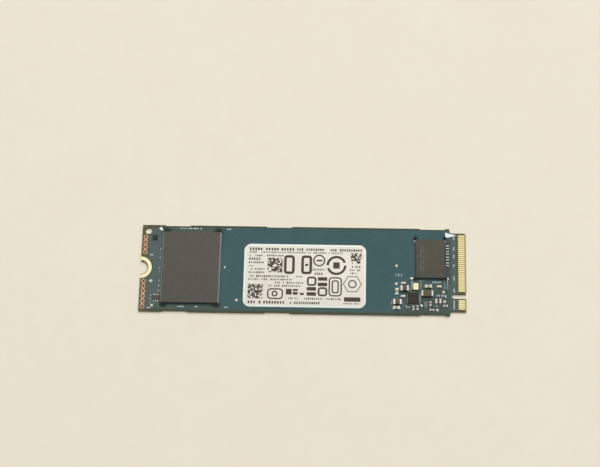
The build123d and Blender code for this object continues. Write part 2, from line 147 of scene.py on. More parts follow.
def near_notch(add, mm, outer, inner):
    """Grows from none to whole between two distances from the middle of the screw notch."""
    level = add("ShaderNodeVectorMath", {0: mm, 1: (1, 1, 0)}, operation="MULTIPLY")
    away = add("ShaderNodeVectorMath", {0: level, 1: (CARD_LOW.x, 0, 0)}, operation="DISTANCE")
    return add("ShaderNodeMapRange", {"Value": away, "From Min": outer, "From Max": inner})


def shaded_bore_and_bare_rim(add, mm):
    """On the wall of the screw notch, whose brown there is painted shade, and on the bare edge of the pad
    round it.
    """
    return near_notch(add, mm, NOTCH_RADIUS + BORE_RIM + BORE_FADE, NOTCH_RADIUS + BORE_RIM)


def outside_of(add, mm, low, high):
    """How far outside a rectangle on the card a place lies; less than nothing inside it."""
    place = add("ShaderNodeSeparateXYZ", {0: mm}).outputs
    distances = []
    for axis, first, last in (("X", low[0], high[0]), ("Y", low[1], high[1])):
        middle = (first + last) / 2
        moved = add("ShaderNodeMath", {0: place[axis], 1: middle}, operation="SUBTRACT")
        away = add("ShaderNodeMath", {0: moved}, operation="ABSOLUTE")
        half = (last - first) / 2
        distances.append(add("ShaderNodeMath", {0: away, 1: half}, operation="SUBTRACT"))
    return add("ShaderNodeMath", dict(enumerate(distances)), operation="MAXIMUM")


CLOUD_SCALE = 0.18  # of a finish's broad clouds, against its grain
GLOSS_SWING = 0.08  # of the roughness, up and down
RELIEF_DEPTH = 0.2  # of a finish's relief, against its grain


def speckled(name, light, dark, grain, surface, bump=0.0, stretch=(1, 1, 1), over=None):
    """A finish that wanders between two close colours, with matching gloss and relief.

    Grain is the pattern's size in millimetres and stretch draws it out along an axis. Over is another
    colour and the function that says where it lies."""
    made, add, shader, mm = new_material(name, surface)
    laid = add("ShaderNodeMapping", {"Vector": mm, "Scale": stretch})
    clouds = add("ShaderNodeTexNoise", {"Vector": laid, "Scale": CLOUD_SCALE / grain, "Detail": 4.0})
    specks = add("ShaderNodeTexNoise", {"Vector": laid, "Scale": 1 / grain, "Detail": 3.0})
    both = add("ShaderNodeMath", {0: clouds, 1: specks}, operation="ADD")
    share = add("ShaderNodeMapRange", {"Value": both, "From Min": 0.7, "From Max": 1.3})
    colour = add("ShaderNodeMix", {SHARE: share, UNDER: dark, OVER: light}, data_type="RGBA")
    if over:
        other, where = over
        colour = add("ShaderNodeMix", {SHARE: where(add, mm), UNDER: colour, OVER: other}, data_type="RGBA")
    rough = surface["Roughness"]
    limits = {"From Min": 0.3, "From Max": 0.7, "To Min": rough - GLOSS_SWING, "To Max": rough + GLOSS_SWING}
    gloss = add("ShaderNodeMapRange", {"Value": specks, **limits})
    feed(shader, {"Base Color": colour, "Roughness": gloss})
    if bump:
        depth = grain * RELIEF_DEPTH * MM
        relief = add("ShaderNodeBump", {"Height": specks, "Distance": depth, "Strength": bump})
        feed(shader, {"Normal": relief})
    return made


# Solder mask over copper on a glass-epoxy board. From above a glossy dark teal, a shade darker where
# no copper lies below it; in the mask's openings bare brown laminate; at the cut edges layered olive
# laminate with the ends of the glass cloth.

FACE_RELIEF = 0.02  # depth of the relief on mask and label
MASK_CLOUD = 8.33  # size of the clouds in the mask
MASK_GRAIN = 0.4545  # and of its grain
END_BLEND = 1.5  # by which the mask's change to grey reaches past the packages' outer ends
BORDER_START, BORDER_END = 0.52, 0.38  # of the copper's border, from the card's long edges
HALO_START, HALO_END = NOTCH_PAD_RADIUS + 0.4, NOTCH_PAD_RADIUS + 0.2  # of the bare ring round the pad
WAVE_PERIOD = math.tau / 20  # of a Wave texture whose scale is 1
CLOTH_THREAD = 0.449  # from one thread of the glass cloth to the next
LAMINATE_LAYER = 0.0982  # thickness of a layer in the cut edge
UPWARD = 0.4  # least upright share of a normal on the board's faces; its cut edges have less
# Patches where the mask is painted greyer and darker: two corners, how softly they end, how much of the
# laminate's olive shows, and its shade there. Among the power section's parts and between the coupling
# capacitors this is painted shade; beside the flash package and along the lower edge the mask is only
# greyer.
GREYED_AND_SHADED_PATCHES = (
    ((24.6, -12.0), (35.8, -3.0), 1.2, 0.75, "#333E31"),
    ((34.9, -2.4), (36.2, 8.2), 0.5, 0.7, "#222A22"),
    # Near black between the coupling capacitors: painted shade
    ((35.05, 1.6), (35.9, 7.1), 0.15, 0.85, "#10140D"),
    ((-37.0, 9.3), (-19.8, 12.0), 0.5, 0.75, "#3E483C"),
    ((-37.0, -12.0), (-19.8, -9.3), 0.5, 0.75, "#3E483C"),
    ((-19.8, -12.0), (24.6, -9.9), 0.6, 0.4, "#3E483C"),
)


def grey_ends(add, mm):
    """Where the mask turns greyer: the screw end, and a little less by the contacts."""
    along = add("ShaderNodeSeparateXYZ", {0: mm}).outputs["X"]
    limits = {"From Min": FLASH_LOW.x + END_BLEND, "From Max": FLASH_LOW.x - END_BLEND}
    screw_end = add("ShaderNodeMapRange", {"Value": along, **limits})
    limits = {"From Min": CONTROLLER_HIGH.x, "From Max": CONTROLLER_HIGH.x + END_BLEND, "To Max": 0.9}
    contact_end = add("ShaderNodeMapRange", {"Value": along, **limits})
    return add("ShaderNodeMath", {0: screw_end, 1: contact_end}, operation="MAXIMUM")


def bared_border(add, mm):
    """Where the copper stops short of the card's long edges and the notch's pad."""
    place = add("ShaderNodeSeparateXYZ", {0: mm}).outputs["Y"]
    across = add("ShaderNodeMath", {0: place}, operation="ABSOLUTE")
    limits = {"From Min": CARD_HIGH.y - BORDER_START, "From Max": CARD_HIGH.y - BORDER_END}
    border = add("ShaderNodeMapRange", {"Value": across, **limits})
    halo = near_notch(add, mm, HALO_START, HALO_END)
    return add("ShaderNodeMath", {0: border, 1: halo}, operation="MAXIMUM")


def mask_colour(add, mm, grain):
    """Uneven teal, greyed at the ends, in patches greyer and darker (partly painted shade among the parts),
    olive where copper stops.
    """
    clouds = add("ShaderNodeTexNoise", {"Vector": mm, "Scale": 1 / MASK_CLOUD, "Detail": 5.0})
    pooled = add("ShaderNodeMath", {0: clouds, 1: grain}, operation="ADD")
    thick = add("ShaderNodeMapRange", {"Value": pooled, "From Min": 0.75, "From Max": 1.25})
    layers = [(thick, "#2C5052"), (grey_ends(add, mm), "#465350")]
    normal = add("ShaderNodeNewGeometry").outputs["Normal"]
    slant = add("ShaderNodeSeparateXYZ", {0: normal}).outputs["Z"]
    on_top = add("ShaderNodeMath", {0: slant, 1: UPWARD}, operation="GREATER_THAN")
    for low, high, soft, strength, shade in GREYED_AND_SHADED_PATCHES:
        limits = {"From Min": soft, "From Max": -soft, "To Max": strength}
        patch = add("ShaderNodeMapRange", {"Value": outside_of(add, mm, low, high), **limits})
        layers.append((add("ShaderNodeMath", {0: patch, 1: on_top}, operation="MULTIPLY"), shade))
    layers.append((bared_border(add, mm), "#2F3A28"))
    colour = "#234447"
    for share, shade in layers:
        colour = add("ShaderNodeMix", {SHARE: share, UNDER: colour, OVER: shade}, data_type="RGBA")
    return colour


def bare_laminate(add, mm, upright):
    """Laminate through which the square weave of the glass cloth shows, paler on the milled bevel."""
    threads = []
    for turn in (0.0, math.pi / 2):
        turned = add("ShaderNodeMapping", {"Vector": mm, "Rotation": (0, 0, turn)})
        waves = {"Vector": turned, "Scale": WAVE_PERIOD / CLOTH_THREAD, "Distortion": 0.8, "Detail": 2.0}
        threads.append(add("ShaderNodeTexWave", waves).outputs["Fac"])
    weave = add("ShaderNodeMath", dict(enumerate(threads)), operation="MULTIPLY")
    cloth = add("ShaderNodeMix", {SHARE: weave, UNDER: "#524E38", OVER: "#6C6A4E"}, data_type="RGBA")
    sloped = add("ShaderNodeMapRange", {"Value": upright, "From Min": 0.97, "From Max": 0.93})
    return add("ShaderNodeMix", {SHARE: sloped, UNDER: cloth, OVER: "#A0905E"}, data_type="RGBA")


def cut_laminate(add, mm):
    """Layers in the cut edge, light and dark in turn."""
    drawn_out = add("ShaderNodeMapping", {"Vector": mm, "Scale": (0.15, 0.15, 1)})
    pairs = WAVE_PERIOD / (2 * LAMINATE_LAYER)
    waves = {"Vector": drawn_out, "Scale": pairs, "Distortion": 1.2, "Detail": 3.0}
    layers = add("ShaderNodeTexWave", waves, bands_direction="Z").outputs["Fac"]
    return add("ShaderNodeMix", {SHARE: layers, UNDER: "#3A3A26", OVER: "#6B6444"}, data_type="RGBA")


def board_finish():
    """The board's material: mask on its faces, laminate in the mask's openings and at the cut edges."""
    made, add, shader, mm = new_material("solder_mask_on_glass_epoxy", {"IOR": 1.5})
    upright = facing(add, "Z")
    edge = add("ShaderNodeMath", {0: upright, 1: UPWARD}, operation="LESS_THAN")
    height = add("ShaderNodeSeparateXYZ", {0: mm}).outputs["Z"]
    from_middle = add("ShaderNodeMath", {0: height, 1: BOARD_TOP / 2}, operation="SUBTRACT")
    depth = add("ShaderNodeMath", {0: from_middle}, operation="ABSOLUTE")
    mask_level = (BOARD_TOP - PAD_DEPTH) / 2
    coat = add("ShaderNodeMath", {0: depth, 1: mask_level}, operation="GREATER_THAN")

    grain = add("ShaderNodeTexNoise", {"Vector": mm, "Scale": 1 / MASK_GRAIN, "Detail": 3.0})
    colours = {SHARE: coat, UNDER: bare_laminate(add, mm, upright), OVER: mask_colour(add, mm, grain)}
    face = add("ShaderNodeMix", colours, data_type="RGBA")
    colour = add("ShaderNodeMix", {SHARE: edge, UNDER: face, OVER: cut_laminate(add, mm)}, data_type="RGBA")

    whole = add("ShaderNodeMath", {0: 1.0, 1: edge}, operation="SUBTRACT")
    glossy = add("ShaderNodeMath", {0: whole, 1: coat}, operation="MULTIPLY")
    rough = add("ShaderNodeMapRange", {"Value": glossy, "To Min": 0.75, "To Max": 0.3})
    relief = add("ShaderNodeBump", {"Height": grain, "Distance": FACE_RELIEF * MM, "Strength": 0.25})
    feed(shader, {"Base Color": colour, "Roughness": rough, "Normal": relief})
    return made


# White printed label stock, matt and faintly fibrous, whiter along its cut rim

PAPER_FIBRE = 0.333  # drawn coarser than it is, to show
PAPER_CLOUD = 6.67
RIM_START, RIM_END = 0.55, 0.25  # of the whiter rim, from the label's edge


def label_finish():
    """The label's material."""
    made, add, shader, mm = new_material("matt_label_paper", {"Roughness": 0.6, "IOR": 1.45})
    fibres = add("ShaderNodeTexNoise", {"Vector": mm, "Scale": 1 / PAPER_FIBRE, "Detail": 6.0})
    clouds = add("ShaderNodeTexNoise", {"Vector": mm, "Scale": 1 / PAPER_CLOUD, "Detail": 2.0})
    both = add("ShaderNodeMath", {0: fibres, 1: clouds}, operation="ADD")
    share = add("ShaderNodeMapRange", {"Value": both, "From Min": 0.7, "From Max": 1.3})
    sheet = add("ShaderNodeMix", {SHARE: share, UNDER: "#E2DDCF", OVER: "#EBE6DA"}, data_type="RGBA")
    outside = outside_of(add, mm, LABEL_LOW, LABEL_HIGH)
    rim = add("ShaderNodeMapRange", {"Value": outside, "From Min": -RIM_START, "From Max": -RIM_END})
    colour = add("ShaderNodeMix", {SHARE: rim, UNDER: sheet, OVER: "#F0F4EC"}, data_type="RGBA")
    relief = add("ShaderNodeBump", {"Height": fibres, "Distance": FACE_RELIEF * MM, "Strength": 0.2})
    feed(shader, {"Base Color": colour, "Normal": relief})
    return made


BOARD = board_finish()
LABEL = label_finish()
# Hard gold over nickel: bright yellow, faintly streaked along the way the socket wipes it
CONTACT_GOLD = speckled(
    "hard_gold_plating", "#FFF3B8", "#F6E6A2", 0.6, {"Metallic": 1.0, "Roughness": 0.3}, 0.05, (0.2, 1, 1)
)
# Thin immersion gold: paler, with nickel showing through
PALE_GOLD = speckled("immersion_gold", "#F6EFC6", "#ECE4B4", 0.5, {"Metallic": 1.0, "Roughness": 0.3}, 0.05)
# The same round the screw notch, brown on the bore's wall as painted shade and painted dark reflection, and
# brown on the bare edge of the pad round it
NOTCH_GOLD = speckled(
    "notch_gold_plating", "#FAF5C8", "#F0EAB6", 0.5, {"Metallic": 1.0, "Roughness": 0.3}, 0.05,
    over=("#6E5B30", shaded_bore_and_bare_rim),
)
# Bare copper under a clear organic coat: pinkish and dull, browner on the walls down in the holes as painted
# shade
COPPER = speckled(
    "coated_copper", "#D2AE94", "#AA8467", 0.3, {"Metallic": 1.0, "Roughness": 0.42}, 0.1,
    over=("#6E3A0E", painted_shade_on_hole_walls),
)
# Matt tin on the chips' ends and leads: soft white metal
TIN = speckled("matt_tin_plating", "#F2F0EA", "#D8D6CE", 0.12, {"Metallic": 1.0, "Roughness": 0.34}, 0.3)
# Reflowed solder: bright, wet-looking and slightly grey
SOLDER = speckled("reflowed_solder", "#C4C2B9", "#9C9A91", 0.2, {"Metallic": 1.0, "Roughness": 0.2}, 0.15)
# Solder-coated test pads: duller and warmer than the chips' ends
PAD_SOLDER = speckled(
    "dull_pad_solder", "#E0DDD0", "#C2BDAD", 0.3, {"Metallic": 1.0, "Roughness": 0.45}, 0.2
)
# Moulding compound filled with silica: dark warm grey, matt, with a fine grit drawn coarser to show
MOULD = speckled("silica_filled_mould", "#424035", "#38362C", 0.16, {"Roughness": 0.55, "IOR": 1.6}, 0.35)
# The same on the flash package, whose leaning end walls are painted pale grey as a painted highlight for the
# light they catch
FLASH_MOULD_WALL_HIGHLIGHT = speckled(
    "flash_mould_painted_wall_highlight", "#4C473F", "#413D36", 0.16, {"Roughness": 0.55, "IOR": 1.6}, 0.35,
    over=("#BAC1BF", painted_highlight_on_end_walls),
)
# Paler compound of the diode: mid grey, matt
GREY_MOULD = speckled("grey_mould", "#747769", "#5F6257", 0.12, {"Roughness": 0.5, "IOR": 1.6}, 0.3)
# Darkest compound, on the power chip: near black, a little brown
BROWN_MOULD = speckled("brown_black_mould", "#2A2419", "#1E1A12", 0.14, {"Roughness": 0.5, "IOR": 1.45}, 0.3)
# Fine-line laminate of the packages, dull green at its sawn edge
SUBSTRATE = speckled("package_laminate", "#4B573C", "#2F3A28", 0.12, {"Roughness": 0.5}, 0.2, (1, 1, 4))
# Cured edge-bond adhesive: black and glassy, with the mask showing through where it runs thin
BOND = speckled(
    "edge_bond_adhesive", "#101C16", "#0A130F", 0.3, {"Roughness": 0.4, "IOR": 1.4}, 0.1,
    over=("#22362F", where_thin),
)
# Fired capacitor ceramic, largest chips first: dark brown, olive cream, stone and pale grey
BROWN_CERAMIC = speckled("brown_fired_ceramic", "#65543E", "#4C3F2C", 0.15, {"Roughness": 0.42}, 0.25)
OLIVE_CERAMIC = speckled("olive_cream_ceramic", "#B2B096", "#928F76", 0.15, {"Roughness": 0.42}, 0.25)
STONE_CERAMIC = speckled("stone_ceramic", "#DED5C2", "#C2B8A2", 0.12, {"Roughness": 0.42}, 0.25)
PALE_CERAMIC = speckled("pale_grey_ceramic", "#D2D3CA", "#BFC0B6", 0.12, {"Roughness": 0.45}, 0.2)
# Alumina of the chip resistors: creamy white and matt
CREAM_CERAMIC = speckled("white_alumina", "#E6DCC6", "#CFC4AB", 0.15, {"Roughness": 0.45}, 0.2)
# Glass coat of a chip resistor: pinkish grey and smooth
GLASS_COAT = speckled("grey_glass", "#8A7C72", "#6E6259", 0.2, {"Roughness": 0.3, "IOR": 1.55}, 0.1)
# Pressed iron powder in resin: dull grey-brown and granular
POWDER = speckled("pressed_iron_powder", "#625A4A", "#463F34", 0.1, {"Roughness": 0.6}, 0.6)
# Dark alumina of the crystal's package: brown-black and matt
DARK_CERAMIC = speckled("dark_alumina", "#4A4038", "#342C26", 0.15, {"Roughness": 0.5}, 0.2)
# Back of a bare chip under a dark film: black with a cast of green
CHIP_BACK = speckled("coated_silicon", "#161C14", "#0F140E", 0.2, {"Roughness": 0.4, "IOR": 1.5}, 0.05)
# Solder mask where it climbs over a track or a filled hole: lighter than the mask around it
MASK_OVER_COPPER = speckled(
    "solder_mask_over_copper", "#35585D", "#2D4E53", 0.8, {"Roughness": 0.36, "IOR": 1.5}
)
# White epoxy ink of the board's marks: clean, cool and matt
WHITE_INK = speckled("white_epoxy_ink", "#F6FBF8", "#E2EDE9", 0.25, {"Roughness": 0.5}, 0.2)
# The same ink where it was printed thin, so that the mask greys it
THIN_INK = speckled("thin_white_ink", "#CCD6DA", "#AAB8BE", 0.25, {"Roughness": 0.5}, 0.2)
# Dark brown plug half way down the plated holes: painted shade, standing in for the dark depth of the holes
HOLE_DEPTH_SHADE_PLUG = speckled("hole_depth_shade_plug", "#46260A", "#301805", 0.1, {"Roughness": 0.6}, 0.3)
# Thermal-transfer print on the label: warm near-black, a little broken
LABEL_INK = speckled("label_print", "#4A4038", "#332B25", 0.25, {"Roughness": 0.55}, 0.05)
# Marks burnt into the mould by a laser: only a shade lighter than the mould
LASER_MARK = speckled("laser_mark", "#72675A", "#63594C", 0.15, {"Roughness": 0.6}, 0.2)
# Sheet of cream paper under the card: matt, with the faintest clouds
BACKING_PAPER = speckled(
    "cream_backing_paper", "#EEE6D4", "#EBE3D0", 4.0, {"Roughness": 0.9, "Specular IOR Level": 0.0}
)


# Pieces

WELD = 1e-4  # corners of a solid closer than this are one
BEVEL_WELD = 2e-4  # the same after its edges are rounded
FLAT_DEGREES = 2  # faces that turn by less than this are one
SHARP_DEGREES = 30  # edges that turn by more than this are rounded


def keep(piece, slot, *stands_for):
    """Ties a finished piece to the card and hides what it stands for; the slot is not used."""
    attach(piece, "root")
    if stands_for:
        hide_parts(*stands_for)


def piece_from(name, mesh, material, smooth_degrees=40):
    """An object from a bmesh, smooth over shallow angles only."""
    data = bpy.data.meshes.new(name)
    mesh.to_mesh(data)
    mesh.free()
    data.materials.append(material)
    data.shade_smooth()
    data.set_sharp_from_angle(angle=math.radians(smooth_degrees))
    made = bpy.data.objects.new(name, data)
    bpy.context.scene.collection.objects.link(made)
    return made


def dress(material, *names):
    """Gives CAD nodes that keep their own shape their finish."""
    for name in names:
        for slot in NODES[name].material_slots:
            slot.material = material


def merged(name):
    """A CAD node's mesh with its triangles joined up and its flat faces whole."""
    mesh = bmesh.new()
    mesh.from_mesh(NODES[name].data)
    bmesh.ops.remove_doubles(mesh, verts=mesh.verts, dist=WELD * MM)
    flat = math.radians(FLAT_DEGREES)
    bmesh.ops.dissolve_limit(mesh, angle_limit=flat, verts=mesh.verts, edges=mesh.edges)
    return mesh


def soften(name, material, slot, radius):
    """A node's own shape with its edges rounded, as moulding, plating or sawing leaves them."""
    mesh = merged(name)
    sharp = [e for e in mesh.edges if e.is_manifold and e.calc_face_angle() > math.radians(SHARP_DEGREES)]
    bmesh.ops.bevel(
        mesh, geom=sharp, offset=radius * MM, segments=2, profile=0.5, affect="EDGES", clamp_overlap=True
    )
    bmesh.ops.remove_doubles(mesh, verts=mesh.verts, dist=BEVEL_WELD * MM)
    bmesh.ops.dissolve_degenerate(mesh, dist=BEVEL_WELD * MM, edges=mesh.edges)
    keep(piece_from(name + "_finished", mesh, material), slot, name)


def corners_of_solids(name):
    """The corners of each separate solid in a node."""
    mesh = merged(name)
    left = set(mesh.verts)
    solids = []
    while left:
        queue = [left.pop()]
        found = []
        while queue:
            corner = queue.pop()
            found.append(corner.co / MM)
            for line in corner.link_edges:
                other = line.other_vert(corner)
                if other in left:
                    left.remove(other)
                    queue.append(other)
        solids.append(found)
    mesh.free()
    return solids


def arc(centre, radius, sides, start=0, sweep=360):
    """Points round a centre, anticlockwise from an angle in degrees; a whole circle has no last point."""
    count = sides if sweep == 360 else sides + 1
    turns = [math.radians(start + sweep * i / sides) for i in range(count)]
    return [(centre[0] + radius * math.cos(a), centre[1] + radius * math.sin(a)) for a in turns]


def box_outline(x0, y0, x1, y1):
    """A rectangle, anticlockwise."""
    return [(x0, y0), (x1, y0), (x1, y1), (x0, y1)]


def round_outline(x0, y0, x1, y1, radius, steps=5):
    """A rectangle with rounded corners, anticlockwise."""
    points = []
    left, right, bottom, top = x0 + radius, x1 - radius, y0 + radius, y1 - radius
    for i, centre in enumerate(((right, bottom), (right, top), (left, top), (left, bottom))):
        points += arc(centre, radius, steps, 90 * (i - 1), 90)
    return points


def add_loop(mesh, outline, z):
    """New corners over an outline, all at one height."""
    return [mesh.verts.new((x * MM, y * MM, z * MM)) for x, y in outline]


def bridge(mesh, near, far, steps=None):
    """Faces between two loops of corners, all the way round or for some steps only."""
    for i in range(steps or len(near)):
        j = (i + 1) % len(near)
        mesh.faces.new((near[i], near[j], far[j], far[i]))


def add_prism(mesh, outline, low, high):
    """A closed prism over an outline that runs anticlockwise."""
    floor = add_loop(mesh, outline, low)
    roof = add_loop(mesh, outline, high)
    mesh.faces.new(roof)
    mesh.faces.new(floor[::-1])
    bridge(mesh, floor, roof)


def add_band(mesh, section, closed=True):
    """A solid through outlines and their heights, outer side first; one that isn't closed gets flat ends."""
    loops = [add_loop(mesh, outline, z) for outline, z in section]
    steps = len(loops[0]) if closed else len(loops[0]) - 1
    for near, far in zip(loops, loops[1:] + loops[:1]):
        bridge(mesh, near, far, steps)
    if not closed:
        mesh.faces.new([loop[0] for loop in loops])
        mesh.faces.new([loop[-1] for loop in loops][::-1])


# Geometry Nodes trees for what repeats or follows a path


def new_tree(name, inputs):
    """A geometry tree with named inputs, each of the kind of socket given, and what adds nodes to it."""
    tree = bpy.data.node_groups.new(name, "GeometryNodeTree")
    for label, kind in {"Geometry": "Geometry", **inputs}.items():
        tree.interface.new_socket(label, in_out="INPUT", socket_type="NodeSocket" + kind)
    tree.interface.new_socket("Geometry", in_out="OUTPUT", socket_type="NodeSocketGeometry")
    add = partial(add_node, tree)
    return tree, add, add("NodeGroupInput").outputs


def end_tree(add, shape, material):
    """Realizes the instances, sets their material and ends the tree."""
    real = add("GeometryNodeRealizeInstances", {0: shape})
    faced = add("GeometryNodeSetMaterial", {"Geometry": real, "Material": material})
    add("NodeGroupOutput", {0: faced})


def grown(name, tree, sizes, points=(), edges=()):
    """The mesh that a tree grows from a few points and edges."""
    seed = bpy.data.meshes.new(name + "_seed")
    seed.from_pydata([[c * MM for c in p] for p in points], edges, [])
    holder = bpy.data.objects.new(name + "_seed", seed)
    bpy.context.scene.collection.objects.link(holder)
    modifier = holder.modifiers.new("grow", "NODES")
    modifier.node_group = tree
    for item in tree.interface.items_tree:
        if item.in_out == "INPUT" and item.name in sizes:
            modifier[item.identifier] = sizes[item.name]
    bpy.context.view_layer.update()
    evaluated = holder.evaluated_get(bpy.context.evaluated_depsgraph_get())
    mesh = bpy.data.meshes.new_from_object(evaluated)
    mesh.name = name
    bpy.data.objects.remove(holder)
    bpy.data.meshes.remove(seed)
    return mesh


def joined(name, meshes, smooth_degrees=20):
    """One object at the origin from several grown meshes with one material."""
    mesh = bmesh.new()
    for part in meshes:
        mesh.from_mesh(part)
    for face in mesh.faces:
        face.material_index = 0
    material = meshes[0].materials[-1]
    for part in meshes:
        bpy.data.meshes.remove(part)
    return piece_from(name, mesh, material, smooth_degrees)


def stamped_field_tree():
    """Rows of small flat blocks, some left out at random: lines of print and squares of dots."""
    inputs = {
        "Columns": "Int", "Rows": "Int", "Pitch": "Float", "Block": "Vector", "Corner": "Vector",
        "Keep": "Float", "Least Size": "Vector", "Seed": "Int", "Material": "Material",
    }
    tree, add, size = new_tree("stamped_field", inputs)
    total = add("ShaderNodeMath", {0: size["Columns"], 1: size["Rows"]}, operation="MULTIPLY")
    index = add("GeometryNodeInputIndex")
    rows_passed = add("ShaderNodeMath", {0: index, 1: size["Columns"]}, operation="DIVIDE")
    row = add("ShaderNodeMath", {0: rows_passed}, operation="FLOOR")
    column = add("ShaderNodeMath", {0: index, 1: size["Columns"]}, operation="MODULO")
    cell = add("ShaderNodeCombineXYZ", {0: column, 1: row})
    place = add("ShaderNodeVectorMath", {0: cell, "Scale": size["Pitch"]}, operation="SCALE")
    moved = add("ShaderNodeVectorMath", {0: place, 1: size["Corner"]}, operation="ADD")
    points = add("GeometryNodePoints", {"Count": total, "Position": moved})
    chance = {"Probability": size["Keep"], "Seed": size["Seed"]}
    kept = add("FunctionNodeRandomValue", chance, data_type="BOOLEAN")
    spread = {0: size["Least Size"], 1: (1, 1, 1), "Seed": size["Seed"]}
    uneven = add("FunctionNodeRandomValue", spread, data_type="FLOAT_VECTOR")
    block = add("GeometryNodeMeshCube", {"Size": size["Block"]})
    stamp = {"Points": points, "Selection": kept, "Instance": block, "Scale": uneven}
    end_tree(add, add("GeometryNodeInstanceOnPoints", stamp), size["Material"])
    return tree


def bead_tree():
    """A squashed ball on each point: solder balls, and holes filled under the mask."""
    inputs = {
        "Radius": "Float", "Height": "Float", "Segments": "Int", "Rings": "Int", "Material": "Material",
    }
    tree, add, size = new_tree("beads", inputs)
    facets = {"Segments": size["Segments"], "Rings": size["Rings"]}
    ball = add("GeometryNodeMeshUVSphere", {**facets, "Radius": 1.0})
    half = add("ShaderNodeMath", {0: size["Height"], 1: 0.5}, operation="MULTIPLY")
    scale = add("ShaderNodeCombineXYZ", {0: size["Radius"], 1: size["Radius"], 2: half})
    points = add("GeometryNodeMeshToPoints", {"Mesh": size["Geometry"]})
    spread = {"Points": points, "Instance": ball, "Scale": scale}
    end_tree(add, add("GeometryNodeInstanceOnPoints", spread), size["Material"])
    return tree


def track_tree():
    """A flat raised strip with rounded bends along each run of edges: tracks under the mask."""
    inputs = {"Width": "Float", "Height": "Float", "Bend": "Float", "Material": "Material"}
    tree, add, size = new_tree("tracks", inputs)
    path = add("GeometryNodeMeshToCurve", {"Mesh": size["Geometry"]})
    rounding = {"Curve": path, "Radius": size["Bend"], "Count": 4, "Limit Radius": True}
    bent = add("GeometryNodeFilletCurve", rounding, mode="POLY")
    flat = {name: size[name] for name in ("Width", "Height")}
    section = add("GeometryNodeCurvePrimitiveQuadrilateral", flat)
    sweep = {"Curve": bent, "Profile Curve": section, "Fill Caps": True}
    end_tree(add, add("GeometryNodeCurveToMesh", sweep), size["Material"])
    return tree


STAMPED_FIELD = stamped_field_tree()
BEADS = bead_tree()
TRACKS = track_tree()


# Solder, adhesive and plated holes

FILLET_SPREAD = 1.12  # reach of a fillet's foot, against the wedge in the solids
FILLET_RISE = 0.82  # height of its top, against the wedge
FILLET_HOLLOW = 2.4  # power of its hollow curve
FILLET_STEPS = 6  # down the fillet
FILLET_LANES = 6  # along it
FOOT_ROUNDING = 0.35  # share by which the foot draws back at its ends
CREST_FALL = 0.3  # share by which the top falls at its ends
BALL_OVERLAP = 1.04  # height of a ball, against the gap that it fills
BALL_SEGMENTS, BALL_RINGS = 12, 6
DAB_SIDES = 28
DAB_RINGS = 6
# Unevenness of a dab's outline: waves round it, their depth, and their shift from dab to dab
DAB_WAVES = ((2, 0.05, 1.0), (3, 0.04, 2.1))
# Raised rim of a ground hole: radius and rise
HOLE_RIM = ((0.56, 0.0), (0.5, 0.03), (0.4, 0.04), (0.31, 0.03), (0.26, 0.0))
HOLE_RIM_SIDES = 28
PLUG_RADIUS = 0.238
PLUG_SIDES = 20
PLUG_LOW, PLUG_HIGH = 0.25, 0.6  # above the card's underside


def solder_fillet(mesh, corners):
    """A hollow-faced fillet of solder in place of a straight wedge, with a rounded foot."""
    top = max(c.z for c in corners)
    foot = min(c.z for c in corners)
    ridge = [c for c in corners if c.z > (top + foot) / 2]
    base = [c for c in corners if c.z <= (top + foot) / 2]
    inner = sum(ridge, Vector()) / len(ridge)
    out = (sum(base, Vector()) / len(base) - inner).to_2d()
    reach = 2 * out.length * FILLET_SPREAD
    out.normalize()
    along = Vector((-out.y, out.x))
    half = max(abs((c - inner).to_2d().dot(along)) for c in ridge)
    upper, lower = [], []
    for i in range(FILLET_STEPS + 1):
        down = i / FILLET_STEPS
        upper.append([])
        lower.append([])
        for k in range(FILLET_LANES + 1):
            side = 2 * k / FILLET_LANES - 1
            shift = out * reach * down * (1 - FOOT_ROUNDING * side * side * down)
            place = (inner.to_2d() + shift + along * half * side) * MM
            rise = (top - foot) * FILLET_RISE * (1 - down) ** FILLET_HOLLOW * (1 - CREST_FALL * side * side)
            upper[-1].append(mesh.verts.new((place.x, place.y, (foot + rise) * MM)))
            lower[-1].append(mesh.verts.new((place.x, place.y, foot * MM)))
    for i in range(FILLET_STEPS):
        for k in range(FILLET_LANES):
            for near, far in ((upper[i], upper[i + 1]), (lower[i + 1], lower[i])):
                mesh.faces.new((near[k], far[k], far[k + 1], near[k + 1]))
        for k in (0, FILLET_LANES):
            mesh.faces.new((upper[i][k], lower[i][k], lower[i + 1][k], upper[i + 1][k]))
    for k in range(FILLET_LANES):
        mesh.faces.new((upper[0][k], upper[0][k + 1], lower[0][k + 1], lower[0][k]))
    bmesh.ops.weld_verts(mesh, targetmap=dict(zip(upper[-1], lower[-1])))


def make_solder():
    """A fillet at every end of a chip."""
    mesh = bmesh.new()
    for corners in corners_of_solids("solder_fillets"):
        solder_fillet(mesh, corners)
    bmesh.ops.recalc_face_normals(mesh, faces=mesh.faces)
    keep(piece_from("solder_fillets_finished", mesh, SOLDER, 50), "solder", "solder_fillets")


def make_balls(node, radius):
    """Round solder balls, squashed between package and board, where the node has its columns."""
    centres = [sum(solid, Vector()) / len(solid) for solid in corners_of_solids(node)]
    low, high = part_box(node)
    sizes = {
        "Radius": radius * MM, "Height": (high.z - low.z) * BALL_OVERLAP,
        "Segments": BALL_SEGMENTS, "Rings": BALL_RINGS, "Material": SOLDER,
    }
    keep(joined(node + "_finished", [grown(node, BEADS, sizes, centres)], 50), "solder", node)


